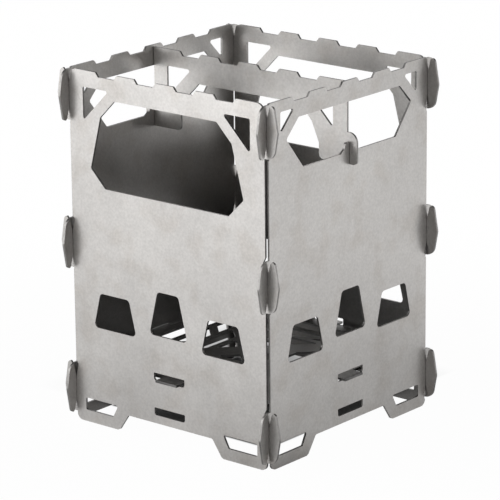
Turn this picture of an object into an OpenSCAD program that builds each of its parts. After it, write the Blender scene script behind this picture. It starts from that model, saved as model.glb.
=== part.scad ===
// Twig stove: four slotted sheet panels, a cross piece that carries the pot, and a fire grate.
// Millimetres. Feet on z = 0, front panel faces -Y.

/* [Box] */
// distance between the middle planes of opposite panels
box_w = 110; // [109:0.5:112]
// height of the panels
panel_h = 159.4; // [158:0.2:161]
// sheet thickness
sheet = 1; // [0.8:0.1:1.1]
// play of a sheet in a slit, both sides together
fit_gap = 0.3; // [0.2:0.05:0.4]

/* [Top edge] */
// depth of the notches in the top edge
notch_depth = 2; // [1.5:0.25:2.5]
// distance between notches
notch_pitch = 22; // [21:0.5:23]
// width of a notch floor
notch_floor = 9; // [8:0.5:10]
// run of a notch flank
notch_run = 1.6; // [1:0.2:2]
// radius of the top corners beside the open slits
corner_r = 4; // [3:0.25:4.5]

/* [Fins] */
// height of a fin
fin_h = 22.6; // [21.6:0.2:23.6]
// reach of a fin past the neighbour's middle plane, at its middle
fin_reach = 6.2; // [5.9:0.1:6.8]
// reach of a fin's mouth end
fin_mouth = 4.2; // [4:0.1:4.5]
// reach of a fin's closed end
fin_toe = 4.1; // [3.8:0.1:4.4]
// height of the lowest fin above the ground
fin_lift = 3.7; // [3.2:0.1:4.2]
// top of the highest fin below the panel's top
fin_drop = 0.5; // [0.3:0.1:0.8]
// widening of a slit at its mouth, each side
mouth_flare = 1.3; // [1:0.1:1.5]
// depth of the widened mouth
mouth_depth = 6; // [5:0.5:7]

/* [Feet] */
// half width of the arch at the ground
arch_half = 29.5; // [28:0.5:30]
// height of the arch
arch_h = 7.9; // [7:0.1:8]
// run of the arch's flanks
arch_run = 5.5; // [4:0.5:6]
// radius of the outer foot corners
foot_r = 3; // [2:0.25:3.5]
// cut of the inner foot corners along the ground
toe_cut = 0.8; // [0.5:0.1:1.2]
// lower edge of the foot windows
foot_win_z = 5.3; // [4.5:0.25:5.5]
// height of the foot windows
foot_win_h = 5.7; // [4.5:0.1:5.7]
// gap between the foot windows and the panel's edge
foot_win_rim = 5.2; // [4.8:0.1:6]
// length of the foot windows' lower edge
foot_win_w = 16; // [14:0.5:17]
// lean of the foot windows' inner end
foot_win_lean = 3; // [2:0.25:3.5]

/* [Windows] */
// run of the corner cuts of the windows
win_cut = 8.2; // [7:0.2:9]
// gap between the widest part of a window and the panel's edge
win_rim = 11.4; // [11:0.1:12]
// narrowing of the front window towards its top, each side
front_lean = 6.1; // [5:0.1:7]
// top edge of the front window below the panel's top
front_drop = 11.3; // [10.8:0.1:12]
// height of the front window
front_win_h = 39.7; // [36:0.1:41]
// narrowing of the side window towards its sill, each side
side_lean = 11.1; // [10:0.1:12]
// top edge of the side window below the panel's top
side_drop = 9.2; // [8.8:0.1:10]
// height of the side window
side_win_h = 22; // [21.5:0.25:23]
// gap between the corner triangles and the panel's edge
tri_rim = 7.6; // [7:0.1:8]
// leg of the front panel's corner triangles
front_tri = 15; // [14:0.25:15.5]
// top of the front panel's corner triangles below the panel's top
front_tri_drop = 7.3; // [6.8:0.1:7.6]
// leg of the side panel's corner triangles
side_tri = 9.4; // [8:0.2:9.6]
// top of the side panel's corner triangles below the panel's top
side_tri_drop = 4.9; // [4.5:0.1:5.3]

/* [Vents] */
// gap between the outer vents and the panel's edge
vent_rim = 11.2; // [10.5:0.1:12]
// half width of the outer vents at the top
vent_top_half = 8.3; // [7:0.1:9]
// half width of the outer vents at the bottom
vent_low_half = 12.3; // [11:0.1:13]
// lower edge of the outer vents
vent_z = 44.8; // [42:0.2:47]
// height of the outer vents
vent_h = 16; // [14:0.1:18]
// half width of the middle vent at the top
mid_top_half = 5.9; // [5:0.1:7]
// half width of the middle vent at the bottom
mid_low_half = 10.8; // [10:0.1:11.5]
// lower edge of the middle vent
mid_z = 47.9; // [46:0.1:50]
// height of the middle vent
mid_h = 19.9; // [18:0.1:21]
// corner radius of the vents
vent_r = 2; // [1:0.25:2.5]

/* [Grate] */
// half width of the slots that carry the grate
slot_half = 8.7; // [8.6:0.1:9.2]
// height of those slots
slot_h = 3.5; // [3:0.1:4]
// lower edge of the upper slots
slot_z = 27.5; // [27:0.1:28]
// distance between the upper and lower slots
slot_pitch = 15.9; // [15.4:0.1:16.2]
// half width of the grate's tabs
tab_half = 6; // [5.6:0.1:6.4]
// reach of the tabs past the panels' outer faces
tab_reach = 2.1; // [1.5:0.1:3]
// gap between the plate's edge and the panels
plate_gap = 2.5; // [2:0.25:3]
// half width of the plate's diagonal bars along an edge
diag_half = 7.75; // [7:0.25:8]
// distance between the grate's slots
bar_pitch = 10.5; // [10.2:0.1:10.6]
// width of the grate's slots
bar_slot = 7.8; // [7.4:0.1:8]
// width of the plate's outer rim
plate_rim = 5.5; // [5:0.25:6]
// half width of the ties across the second slots
tie_half = 2; // [1.5:0.25:2.5]
// distance of the ties from the middle line
tie_x = 12; // [11:0.25:13]

/* [Low side window] */
// lower edge of the low window in the left panel
low_win_z = 14.2; // [13.8:0.2:15]
// height of the low window
low_win_h = 10.8; // [9:0.2:11]
// gap between the low window and the panel's edge
low_win_rim = 5.7; // [5:0.1:8]

/* [Cross piece] */
// top of the cross piece below the panels' top
cross_drop = 0.8; // [0.5:0.1:1]
// lower edge of the cross piece's feet below the panels' top
cross_low = 36.7; // [35.6:0.1:37.6]
// reach of the end fins past the side panel's middle plane
cross_reach = 4.4; // [4:0.1:5]
// top of the end fins below the panels' top
cross_shoulder = 22.8; // [22.2:0.1:23.2]
// width of the cross piece's legs
cross_leg = 15.3; // [14.8:0.1:16]
// lean of the legs above the knee
cross_lean = 3.9; // [3:0.1:5]
// run of the corner cuts under the rail
cross_cut = 6.6; // [5:0.1:7]
// lower edge of the rail below the panels' top
cross_rail = 14.1; // [13.5:0.1:14.5]
// height of the saddle on the side window's lower edge
saddle_h = 4.4; // [4:0.1:4.8]
// half width of the saddle at its foot
saddle_half = 4.9; // [4.6:0.1:5.4]

/* [Hidden] */
$fn = 64;
past = 4;
hair = 0.004;
half = box_w / 2;
face = half - sheet / 2;
panel_half = face - fit_gap;
slit_w = sheet + fit_gap;
waist = panel_half - win_rim;
tri_edge = panel_half - tri_rim;
vent_x = panel_half - vent_rim - vent_low_half;
low_win_half = panel_half - low_win_rim;
cross_open = panel_half - cross_leg;
edge_r = 1.2;
small_r = 0.8;
lip = 0.8;
fin_root = 1;
fin_span = panel_h - fin_drop - fin_lift - fin_h;
fin_z = [for (i = [0:2]) fin_lift + fin_h / 2 + i * fin_span / 2];
fin_radii = [1.1 * fin_toe, 1.1 * fin_toe, 3, 1.8, 1.8, 3];
side_sill = panel_h - side_drop - side_win_h;
cross_foot = panel_h - cross_low;
lap_z = (side_sill + saddle_h + cross_foot) / 2;
saddle_top = 0.63 * saddle_half;
plate_half = face - plate_gap;
bar_edge = plate_half - plate_rim;
tab_len = half + sheet / 2 + tab_reach;
close_half = tab_half + 2 * fit_gap;
slot_radii = [1.2, 1.2, 0.4, 0.4];

function unit(v) = v / norm(v);
function normal(a, b) = let (e = unit(b - a)) [e[1], -e[0]];
function box(x0, x1, z0, z1) = [[x0, z0], [x1, z0], [x1, z1], [x0, z1]];
function mirrored(pts) = concat(pts, [for (i = [len(pts) - 1:-1:0]) [-pts[i][0], pts[i][1]]]);

// Convex outline, given anticlockwise, with its corners rounded by one radius or a list of them.
// The arcs stand a hair proud of its edges, so that they cross them cleanly.
module rounded(pts, r) {
    n = len(pts);
    radii = is_list(r) ? r : [for (p = pts) r];
    edges = [for (i = [0:n - 1]) normal(pts[i], pts[(i + 1) % n])];
    turns = [for (i = [0:n - 1]) [edges[(i + n - 1) % n], edges[i]]];
    inward = [for (t = turns) (t[0] + t[1]) / (1 + t[0] * t[1])];
    centres = [for (i = [0:n - 1]) pts[i] - radii[i] * inward[i]];
    polygon([for (i = [0:n - 1], k = [0, 1]) centres[i] + (radii[i] - hair) * turns[i][k]]);
    for (i = [0:n - 1])
        translate(centres[i]) circle(radii[i]);
}

module both() {
    children();
    mirror([1, 0]) children();
}

// Slit about the line u = 0, from height 0 up through a flared mouth at height h with its lips cut back
module slit(h) {
    narrow = slit_w / 2;
    wide = narrow + mouth_flare;
    translate([-narrow, 0]) square([slit_w, h + past]);
    polygon([[-narrow, h - mouth_depth], [narrow, h - mouth_depth], [wide, h - lip],
        [wide + lip, h], [wide + lip, h + past], [-narrow, h + past],
        [-narrow, h + 2 * lip], [-wide, h - lip]]);
}

// Fin about its own centre: widest at its middle, round closed end below and blunt mouth end above
module fin() {
    intersection() {
        rounded([[-fin_toe, -fin_h / 2], [fin_toe, -fin_h / 2], [fin_reach, 0],
            [fin_mouth, fin_h / 2], [-fin_mouth, fin_h / 2], [-fin_reach, 0]], fin_radii);
        translate([-fin_root, -fin_h]) square(2 * fin_h);
    }
}

// Places children at each fin of the right-hand edge, mouths up or down
module at_fins(mouth_up) {
    for (z = fin_z)
        translate([half, z]) mirror([0, mouth_up ? 0 : 1]) children();
}

// Notches of a top edge at height z
module notches(z) {
    low = notch_floor / 2;
    high = low + notch_run;
    for (i = [-1.5:1.5])
        translate([i * notch_pitch, z - notch_depth])
            polygon(mirrored([[low, 0], [high, notch_depth], [high, notch_depth + past]]));
}

module corner_triangles(leg, drop) {
    top = panel_h - drop;
    both() rounded([[tri_edge, top - leg], [tri_edge, top], [tri_edge - leg, top]], small_r);
}

module vents() {
    top = vent_z + vent_h;
    both() rounded([[vent_x - vent_low_half, vent_z], [vent_x + vent_low_half, vent_z],
        [vent_x + vent_top_half, top], [vent_x - vent_top_half, top]], vent_r);
    rounded([[-mid_low_half, mid_z], [mid_low_half, mid_z], [mid_top_half, mid_z + mid_h],
        [-mid_top_half, mid_z + mid_h]], vent_r);
}

// Arch between the feet and the window in each foot
module feet_cuts() {
    lean = arch_run / arch_h;
    rounded([[-arch_half - past * lean, -past], [arch_half + past * lean, -past],
        [arch_half - arch_run, arch_h], [-arch_half + arch_run, arch_h]], edge_r);
    polygon(mirrored([[arch_half + toe_cut + 2 * past, -past], [arch_half + toe_cut - 2, 1]]));
    top = foot_win_z + foot_win_h;
    out = panel_half - foot_win_rim;
    inner = out - foot_win_w;
    both() rounded([[inner, foot_win_z], [out, foot_win_z], [out, top],
        [inner - foot_win_lean, top]], small_r);
}

// Slot for the grate's tabs from height z, its lower corners rounded more; it clears the tabs by a hair
module grate_slot(z) {
    rounded(box(-slot_half, slot_half, z - 2 * hair, z + slot_h), slot_radii);
}

// Blank of every panel: sheet, feet, notched top edge and fins with their slits
module blank(mouth_up) {
    top_r = mouth_up ? corner_r : edge_r;
    difference() {
        union() {
            rounded(box(-panel_half, panel_half, 0, panel_h),
                [foot_r, foot_r, top_r, top_r]);
            both() at_fins(mouth_up) fin();
        }
        both() at_fins(mouth_up) slit(fin_h / 2);
        notches(panel_h);
        feet_cuts();
        grate_slot(slot_z - slot_pitch);
    }
}

module front_sheet() {
    top = panel_h - front_drop;
    low = top - front_win_h;
    neck = waist - front_lean;
    difference() {
        blank(true);
        rounded(mirrored([[waist - win_cut, low], [waist, low + win_cut], [neck, top - win_cut],
            [neck - win_cut, top]]), edge_r);
        corner_triangles(front_tri, front_tri_drop);
        vents();
        grate_slot(slot_z);
    }
}

// Side panel without its air openings
module side_sheet() {
    top = panel_h - side_drop;
    difference() {
        blank(false);
        difference() {
            rounded(mirrored([[waist - side_lean, side_sill], [waist, top - win_cut],
                [waist - win_cut, top]]), edge_r);
            rounded(mirrored([[saddle_half + 1, side_sill - past],
                [saddle_top, side_sill + saddle_h]]), edge_r);
            polygon(mirrored([[saddle_half + 4.5, side_sill - 2], [saddle_half - 0.8, side_sill + 1.6]]));
        }
        translate([-slit_w / 2, lap_z]) square([slit_w, saddle_h + past]);
        corner_triangles(side_tri, side_tri_drop);
    }
}

module upright() {
    rotate([90, 0, 0]) linear_extrude(sheet, center = true) children();
}

module front_panel() {
    color("silver") translate([0, -half, 0]) upright() front_sheet();
}

module back_panel() {
    color("silver") translate([0, half, 0]) upright() front_sheet();
}

module right_panel() {
    color("silver") translate([half, 0, 0]) rotate([0, 0, 90]) upright() difference() {
        side_sheet();
        vents();
        grate_slot(slot_z);
    }
}

// Left panel: no vents, a low wide window below the grate and a close slot for its tab
module left_panel() {
    color("silver") translate([-half, 0, 0]) rotate([0, 0, 90]) upright() difference() {
        side_sheet();
        rounded(box(-low_win_half, low_win_half, low_win_z, low_win_z + low_win_h), edge_r);
        translate([-close_half, slot_z]) square([2 * close_half, sheet + fit_gap]);
    }
}

// Pot support across the box: notched rail, braced legs, and feet that straddle the side panels
module cross_piece() {
    top = panel_h - cross_drop;
    rail = panel_h - cross_rail;
    knee = cross_foot + 7;
    hip = cross_open - cross_lean;
    shoulder = panel_h - cross_shoulder;
    color("lightgrey") upright() difference() {
        union() {
            translate([-panel_half, knee]) square([2 * panel_half, top - knee]);
            both() intersection() {
                rounded(box(cross_open, half + cross_reach, cross_foot, shoulder + past), 2);
                rounded(box(0, half + cross_reach, 0, shoulder), cross_reach);
            }
        }
        polygon(mirrored([[cross_open, knee - past], [cross_open, knee], [hip, rail - cross_cut],
            [hip - cross_cut, rail]]));
        notches(top);
        both() translate([half - slit_w / 2, cross_foot - past]) square([slit_w, lap_z - cross_foot + past]);
        corner_triangles(front_tri - 1, front_tri_drop + 1);
    }
}

// One quarter of the grate's openings, towards +Y
module grate_quarter() {
    for (i = [0:2]) {
        far = bar_edge - i * bar_pitch;
        near = far - bar_slot;
        difference() {
            rounded([[-near + diag_half, near], [near - diag_half, near], [far - diag_half, far],
                [-far + diag_half, far]], small_r);
            if (i == 1)
                both() translate([tie_x, (near + far) / 2]) rotate(-45)
                    square([2 * tie_half, 2 * bar_pitch], center = true);
        }
    }
    far = bar_edge - 3 * bar_pitch;
    rounded([[0, diag_half], [far - diag_half, far], [-far + diag_half, far]], small_r);
}

module grate() {
    color("grey") translate([0, 0, slot_z]) linear_extrude(sheet) difference() {
        union() {
            square(2 * plate_half, center = true);
            square([2 * tab_half, 2 * tab_len], center = true);
            square([2 * tab_len, 2 * tab_half], center = true);
        }
        for (a = [0:90:270])
            rotate(a) grate_quarter();
    }
}

front_panel();
back_panel();
left_panel();
right_panel();
cross_piece();
grate();
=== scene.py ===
"""Twig stove: satin sheet panels, cross piece and grate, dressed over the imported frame."""

import math

import bmesh
import bpy
import numpy as np
from mathutils import Matrix, Vector


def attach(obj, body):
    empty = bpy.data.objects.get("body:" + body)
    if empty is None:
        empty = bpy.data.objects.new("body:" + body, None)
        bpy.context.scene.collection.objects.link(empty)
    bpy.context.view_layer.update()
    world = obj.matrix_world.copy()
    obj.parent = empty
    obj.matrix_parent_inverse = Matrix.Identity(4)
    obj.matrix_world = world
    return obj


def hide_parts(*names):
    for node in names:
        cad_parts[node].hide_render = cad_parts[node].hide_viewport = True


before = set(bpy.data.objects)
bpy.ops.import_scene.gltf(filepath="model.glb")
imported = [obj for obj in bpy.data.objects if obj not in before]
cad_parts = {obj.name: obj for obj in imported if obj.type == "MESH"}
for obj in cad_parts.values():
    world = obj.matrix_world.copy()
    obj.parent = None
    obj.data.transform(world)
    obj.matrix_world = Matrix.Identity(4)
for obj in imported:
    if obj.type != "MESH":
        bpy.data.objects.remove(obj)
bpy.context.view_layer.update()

# Sheets: node, body, record slot, the axis that the flat faces look along, and the way to the fire along it
SHEETS = (
    ("front_panel", "box", "panel_sheet", 1, 1),
    ("back_panel", "box", "panel_sheet", 1, -1),
    ("left_panel", "box", "panel_sheet", 0, 1),
    ("right_panel", "box", "panel_sheet", 0, -1),
    ("cross_piece", "pot_cross", "cross_sheet", 1, 0),
    ("grate", "fire_grate", "grate_sheet", 2, 0),
)

# Lengths are in metres, and a pair is the span over which one tone turns into the next.
BOX_HALF = 0.055                # middle planes of the panels
FIN_LINE = (0.0556, 0.0562)     # farther distance from the middle planes, from panel to fin or tab, where painted shade darkens them
CORNER_LINE = (0.0530, 0.0544)  # nearer distance, from the fire side to the fins at a corner
INSIDE_SHADE_HEIGHT = (0.062, 0.095)    # height, from painted shade low on the fire side to unshaded sheet
FOOT_LINE = (0.0535, 0.0545)    # from under the box to the open floor
ARCH_SIGHT = (0.0270, 0.0295)   # depth under the box that the camera sees below the arches
# tone of the painted shade on fins and tabs
FIN_SHADE_TONE = 0.9
# tone of the painted shade low on the fire side
INSIDE_SHADE_TONE = 0.4
FLOOR_TONE = 0.70
# tone of the painted shade on the floor under the box
UNDER_BOX_SHADE = 0.25
SKY_TOP = 0.03
TO_CAMERA = (0.641, -0.767)     # level direction from the stove to the camera


def link(tree, a, b):
    """One wire of a node tree from socket a to socket b."""
    tree.links.new(a, b)


def noise(tree, coords, scale, detail):
    """Noise on object coordinates, with scale patches to a metre."""
    tex = tree.nodes.new("ShaderNodeTexNoise")
    tex.inputs["Scale"].default_value = scale
    tex.inputs["Detail"].default_value = detail
    link(tree, coords, tex.inputs["Vector"])
    return tex.outputs["Fac"]


def ramp(tree, fac, low, high, from_min=0.3, from_max=0.7):
    """Linear blend from one colour to another over a span of fac."""
    node = tree.nodes.new("ShaderNodeValToRGB")
    node.color_ramp.elements[0].position = from_min
    node.color_ramp.elements[1].position = from_max
    node.color_ramp.elements[0].color = low
    node.color_ramp.elements[1].color = high
    link(tree, fac, node.inputs["Fac"])
    return node.outputs["Color"]


def grey(v):
    return (v, v, v, 1.0)


def product(tree, a, b):
    """Product of two colours."""
    node = tree.nodes.new("ShaderNodeMix")
    node.data_type = "RGBA"
    node.blend_type = "MULTIPLY"
    node.inputs[0].default_value = 1.0
    link(tree, a, node.inputs[6])
    link(tree, b, node.inputs[7])
    return node.outputs[2]


def bump(tree, height, strength, distance, normal=None):
    """Bump from a height, laid on another bump where normal is given."""
    node = tree.nodes.new("ShaderNodeBump")
    node.inputs["Strength"].default_value = strength
    node.inputs["Distance"].default_value = distance
    link(tree, height, node.inputs["Height"])
    if normal is not None:
        link(tree, normal, node.inputs["Normal"])
    return node.outputs["Normal"]


def maths(tree, kind, *values):
    """The named sum on one or two values, each a socket or a number."""
    node = tree.nodes.new("ShaderNodeMath")
    node.operation = kind
    for k, v in enumerate(values):
        if isinstance(v, float):
            node.inputs[k].default_value = v
        else:
            link(tree, v, node.inputs[k])
    return node.outputs[0]


def span(tree, value, low, high, at_low=0.0, at_high=1.0):
    """Smooth step of a value from at_low to at_high between low and high."""
    node = tree.nodes.new("ShaderNodeMapRange")
    node.interpolation_type = "SMOOTHSTEP"
    for name, v in (("From Min", low), ("From Max", high), ("To Min", at_low), ("To Max", at_high)):
        node.inputs[name].default_value = v
    link(tree, value, node.inputs["Value"])
    return node.outputs["Result"]


def parts_of(tree, vector):
    """The three numbers of a vector."""
    node = tree.nodes.new("ShaderNodeSeparateXYZ")
    link(tree, vector, node.inputs["Vector"])
    return node.outputs


def along(tree, where, x, y):
    """How far a point lies along the level direction (x, y)."""
    return maths(tree, "ADD", maths(tree, "MULTIPLY", where["X"], x), maths(tree, "MULTIPLY", where["Y"], y))


def off_middle(tree, where, kind):
    """Larger (MAXIMUM) or smaller (MINIMUM) of a point's distances from the box's two middle planes."""
    return maths(tree, kind, maths(tree, "ABSOLUTE", where["X"]), maths(tree, "ABSOLUTE", where["Y"]))


def new_material(name):
    mat = bpy.data.materials.new(name)
    mat.use_nodes = True
    tree = mat.node_tree
    shader = tree.nodes["Principled BSDF"]
    coords = tree.nodes.new("ShaderNodeTexCoord").outputs["Object"]
    return mat, tree, shader, coords


def satin_sheet(name, low, high, rough):
    """Blasted sheet: cloudy tone, faint warm stains, fine speckle and small pits, with painted shade darkening
    fins and tabs.
    """
    mat, tree, shader, coords = new_material(name)
    where = parts_of(tree, coords)
    # painted shade: fins and tabs darker than the flat faces
    fin_shade = span(tree, off_middle(tree, where, "MAXIMUM"), *FIN_LINE, 1.0, FIN_SHADE_TONE)
    tone = ramp(tree, noise(tree, coords, 22.0, 3.0), low, high)
    stain = ramp(tree, noise(tree, coords, 75.0, 4.0), (0.93, 0.915, 0.90, 1.0), grey(1.0), 0.34, 0.50)
    mottle = ramp(tree, noise(tree, coords, 330.0, 3.0), grey(0.95), grey(1.0))
    speck = ramp(tree, noise(tree, coords, 950.0, 2.0), grey(0.87), grey(1.0))
    for layer in (stain, mottle, speck, fin_shade):
        tone = product(tree, tone, layer)
    link(tree, tone, shader.inputs["Base Color"])
    sheen = noise(tree, coords, 60.0, 4.0)
    link(tree, ramp(tree, sheen, grey(rough - 0.04), grey(rough + 0.04)), shader.inputs["Roughness"])
    pits = bump(tree, noise(tree, coords, 2600.0, 2.0), 0.12, 0.00006)
    wave = bump(tree, noise(tree, coords, 9.0, 1.0), 0.05, 0.0006, pits)
    link(tree, wave, shader.inputs["Normal"])
    shader.inputs["Metallic"].default_value = 1.0
    return mat


def shaded_inside(mat):
    """The same sheet on the fire side, with painted shade low down and none near the windows or on fins."""
    inner = mat.copy()
    inner.name = mat.name + "_inside"
    tree = inner.node_tree
    base = tree.nodes["Principled BSDF"].inputs["Base Color"]
    where = parts_of(tree, tree.nodes["Texture Coordinate"].outputs["Object"])
    fin = span(tree, off_middle(tree, where, "MINIMUM"), *CORNER_LINE)
    # painted shade: the fire side darker low down
    painted_shade = span(tree, where["Z"], *INSIDE_SHADE_HEIGHT, INSIDE_SHADE_TONE, 1.0)
    link(tree, product(tree, base.links[0].from_socket, maths(tree, "MAXIMUM", fin, painted_shade)), base)
    return inner


def cut_edge(name, low, high):
    """Cut edge: darker than the faces, with fine marks across the sheet's thickness."""
    mat, tree, shader, coords = new_material(name)
    tone = ramp(tree, noise(tree, coords, 300.0, 3.0), low, high)
    link(tree, tone, shader.inputs["Base Color"])
    link(tree, ramp(tree, noise(tree, coords, 900.0, 2.0), grey(0.40), grey(0.52)), shader.inputs["Roughness"])
    marks = bump(tree, noise(tree, coords, 4000.0, 2.0), 0.15, 0.00005)
    link(tree, marks, shader.inputs["Normal"])
    shader.inputs["Metallic"].default_value = 1.0
    return mat


def sheet_piece(node, body, axis, inward, faces, edges, inside):
    """Merged copy of a sheet: faces off its axis are cut edges, and those looking inward are on the fire side."""
    mesh = bpy.data.meshes.new(node + "_skin")
    bm = bmesh.new()
    bm.from_mesh(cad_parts[node].data)
    bmesh.ops.remove_doubles(bm, verts=bm.verts, dist=1e-7)
    bm.to_mesh(mesh)
    bm.free()
    normals = np.zeros(len(mesh.polygons) * 3, np.float32)
    mesh.polygons.foreach_get("normal", normals)
    look = normals.reshape(-1, 3)[:, axis]
    kind = np.where(np.abs(look) < 0.9, 1, np.where(look * inward > 0, 2, 0))
    for mat in (faces, edges, inside):
        mesh.materials.append(mat)
    mesh.polygons.foreach_set("material_index", kind.astype(np.int32))
    mesh.set_sharp_from_angle(angle=math.radians(35))
    mesh.polygons.foreach_set("use_smooth", kind == 1)
    piece = bpy.data.objects.new(node + "_skin", mesh)
    bpy.context.scene.collection.objects.link(piece)
    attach(piece, body)
    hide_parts(node)
    return piece


panel_face = satin_sheet("blasted_panel", (0.548, 0.533, 0.518, 1.0), (0.588, 0.573, 0.556, 1.0), 0.35)
# The grate's faces and cut edges are darker than the panels': painted shade for its place inside the box.
grate_face = satin_sheet("blasted_grate", (0.34, 0.335, 0.330, 1.0), (0.42, 0.414, 0.408, 1.0), 0.46)
sheet_edge = cut_edge("cut_sheet_edge", (0.20, 0.195, 0.190, 1.0), (0.28, 0.273, 0.266, 1.0))
grate_edge = cut_edge("cut_grate_edge", (0.13, 0.128, 0.125, 1.0), (0.19, 0.186, 0.182, 1.0))
panel_inside = shaded_inside(panel_face)
for node, body, slot, axis, inward in SHEETS:
    faces, edges = (grate_face, grate_edge) if node == "grate" else (panel_face, sheet_edge)
    sheet_piece(node, body, axis, inward, faces, edges, panel_inside)


def plate(name, corners, mat):
    """Flat four-cornered stage card: corner points in order round its edge."""
    mesh = bpy.data.meshes.new(name)
    mesh.from_pydata([tuple(p) for p in np.asarray(corners, float)], [], [(0, 1, 2, 3)])
    mesh.materials.append(mat)
    obj = bpy.data.objects.new(name, mesh)
    bpy.context.scene.collection.objects.link(obj)
    return obj


def background_rays(tree, mirrored):
    """Share of the white background that a ray shows: all for camera and clear rays, mirrored for glossy ones."""
    path = tree.nodes.new("ShaderNodeLightPath")
    seen = maths(tree, "MAXIMUM", path.outputs["Is Camera Ray"], path.outputs["Is Transmission Ray"])
    return maths(tree, "MAXIMUM", seen, maths(tree, "MULTIPLY", path.outputs["Is Glossy Ray"], mirrored))


def open_floor(tree, where):
    """One on the open floor and just behind the arches, nothing under the box and close behind its far corner,
    where shade and a soft shadow are painted.
    """
    fore = maths(tree, "MAXIMUM", where["X"], maths(tree, "MULTIPLY", where["Y"], -1.0))
    aft = maths(tree, "MAXIMUM", where["Y"], maths(tree, "MULTIPLY", where["X"], -1.0))
    depth = along(tree, where, -TO_CAMERA[0], -TO_CAMERA[1])
    close_by = span(tree, aft, BOX_HALF, 0.105, 1.0, 0.0)
    # painted shadow close behind the far corner
    far_corner_shadow = maths(tree, "MULTIPLY", close_by, span(tree, depth, 0.02, 0.09))
    lit = maths(tree, "MULTIPLY", span(tree, aft, *FOOT_LINE), maths(tree, "SUBTRACT", 1.0, far_corner_shadow))
    outside = maths(tree, "MAXIMUM", span(tree, fore, *FOOT_LINE), lit)
    behind_front = maths(tree, "DIVIDE", maths(tree, "ADD", where["Y"], BOX_HALF), -TO_CAMERA[1])
    behind_right = maths(tree, "DIVIDE", maths(tree, "SUBTRACT", BOX_HALF, where["X"]), TO_CAMERA[0])
    behind = maths(tree, "MINIMUM", behind_front, behind_right)
    return maths(tree, "MAXIMUM", outside, span(tree, behind, *ARCH_SIGHT, 1.0, 0.0))


def painted_reflection_beside_stove(tree, where, reach):
    """Painted reflection: one on the floor left and right of the stove, less close by and far off, nothing on the
    camera's side.
    """
    slope, widest = 0.6, 0.12
    toward = along(tree, where, *TO_CAMERA)
    dark_half = maths(tree, "MINIMUM", maths(tree, "MULTIPLY", toward, slope), widest)
    aside = maths(tree, "ABSOLUTE", along(tree, where, -TO_CAMERA[1], TO_CAMERA[0]))
    beside = span(tree, maths(tree, "SUBTRACT", aside, dark_half), -0.06, 0.04)
    close_by = span(tree, off_middle(tree, where, "MAXIMUM"), 0.06, 0.27, 0.42, 1.0)
    far_off = span(tree, reach, 0.40, 0.80, 1.0, 0.5)
    return maths(tree, "MULTIPLY", beside, maths(tree, "MULTIPLY", close_by, far_off))


def floor_material():
    """Pale floor: lit by the lamps, with painted shade under the box and a painted shadow behind its far corner,
    and lifted to the white background where it is open; mirrored rays see that white only beside the stove, a
    painted reflection.
    """
    mat, tree, shader, coords = new_material("pale_floor")
    where = parts_of(tree, coords)
    length = tree.nodes.new("ShaderNodeVectorMath")
    length.operation = "LENGTH"
    link(tree, coords, length.inputs[0])
    reach = length.outputs["Value"]
    clear = open_floor(tree, where)
    tone = ramp(tree, noise(tree, coords, 3.0, 2.0), grey(FLOOR_TONE - 0.01), grey(FLOOR_TONE + 0.01))
    # painted shade: the floor's colour darker under the box and behind its far corner
    shade = ramp(tree, clear, grey(UNDER_BOX_SHADE), grey(1.0), 0.0, 1.0)
    link(tree, product(tree, tone, shade), shader.inputs["Base Color"])
    shader.inputs["Roughness"].default_value = 0.9
    glow = tree.nodes.new("ShaderNodeEmission")
    glow.inputs["Strength"].default_value = 1.0
    mix = tree.nodes.new("ShaderNodeMixShader")
    # mirrored rays see the white floor only beside the stove: a painted reflection
    shown = background_rays(tree, painted_reflection_beside_stove(tree, where, reach))
    lift = maths(tree, "MULTIPLY", shown, span(tree, reach, 0.10, 0.35, 0.98, 0.998))
    link(tree, maths(tree, "MULTIPLY", lift, clear), mix.inputs["Fac"])
    link(tree, shader.outputs["BSDF"], mix.inputs[1])
    link(tree, glow.outputs["Emission"], mix.inputs[2])
    link(tree, mix.outputs["Shader"], tree.nodes["Material Output"].inputs["Surface"])
    return mat


plate("studio_floor", [(-6, -6, 0), (6, -6, 0), (6, 6, 0), (-6, 6, 0)], floor_material())


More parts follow.
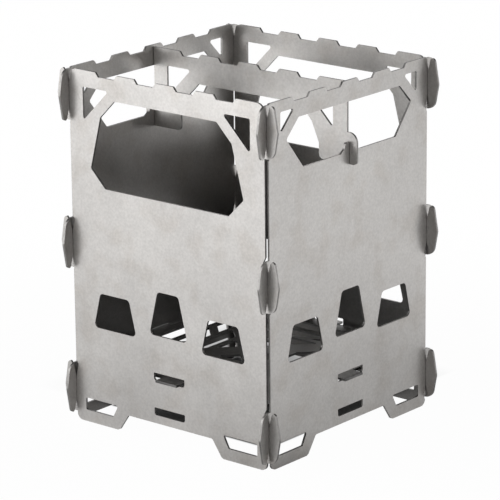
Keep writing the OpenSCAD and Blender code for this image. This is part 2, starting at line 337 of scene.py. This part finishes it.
def studio_world():
    """White surround for camera and clear rays; mirrored rays see a dim room with a white backdrop at the back."""
    world = bpy.data.worlds.new("studio")
    bpy.context.scene.world = world
    world.use_nodes = True
    tree = world.node_tree
    back = tree.nodes["Background"]
    back.inputs["Color"].default_value = (1.0, 1.0, 1.0, 1.0)
    sky = parts_of(tree, tree.nodes.new("ShaderNodeTexCoord").outputs["Generated"])
    low_sky = span(tree, sky["Z"], 0.1, 0.55, 0.12, SKY_TOP)
    facing = maths(tree, "ADD", along(tree, sky, -0.615, 0.736), maths(tree, "MULTIPLY", sky["Z"], 0.28))
    backdrop = span(tree, facing, 0.80, 0.95, 0.0, 0.95)
    shown = background_rays(tree, maths(tree, "MAXIMUM", low_sky, backdrop))
    link(tree, maths(tree, "MAXIMUM", shown, SKY_TOP), back.inputs["Strength"])


studio_world()


def soft_box(name, place, aim, size, glow):
    """Studio lamp, width by height, at place and turned to aim; glow is its brightness beside a white of 1."""
    lamp = bpy.data.lights.new(name, "AREA")
    lamp.shape = "RECTANGLE"
    lamp.size, lamp.size_y = size
    lamp.energy = glow * math.pi * size[0] * size[1]
    obj = bpy.data.objects.new(name, lamp)
    bpy.context.scene.collection.objects.link(obj)
    obj.location = place
    obj.rotation_euler = (Vector(aim) - Vector(place)).to_track_quat("-Z", "Y").to_euler()
    obj.visible_camera = False
    return obj


soft_box("left_lamp", place=(-0.62, -1.08, 0.55), aim=(0, 0, 0.1), size=(1.33, 1.12), glow=4.2)
soft_box("right_lamp", place=(1.4, 0.59, 0.464), aim=(0, 0, 0.1), size=(1.54, 0.95), glow=2.5)


def photo_camera():
    """Camera at the photo's angle: turned az round the stove, el up and rolled a little, looking at its target."""
    az, el, roll = (math.radians(a) for a in (39.902, 16.433, -0.564))
    distance, target_right, target_height = 1.3899, -0.000273, 0.074668
    focal_pixels, picture_pixels = 3167.4, 500
    back = np.array([math.sin(az) * math.cos(el), -math.cos(az) * math.cos(el), math.sin(el)])
    right = np.array([math.cos(az), math.sin(az), 0.0])
    up = np.cross(back, right)
    side = right * math.cos(roll) + up * math.sin(roll)
    over = -right * math.sin(roll) + up * math.cos(roll)
    place = right * target_right + np.array([0, 0, target_height]) + back * distance
    turn = Matrix(np.column_stack([side, over, back]).tolist()).to_4x4()
    cam = bpy.data.cameras.new("photo_camera")
    cam.sensor_width = 36.0
    cam.lens = focal_pixels / picture_pixels * cam.sensor_width
    cam.clip_start = 0.01
    cam.clip_end = 50.0
    obj = bpy.data.objects.new("photo_camera", cam)
    bpy.context.scene.collection.objects.link(obj)
    obj.matrix_world = Matrix.Translation(Vector(place)) @ turn
    bpy.context.scene.camera = obj


photo_camera()
bpy.context.scene.view_settings.view_transform = "Standard"
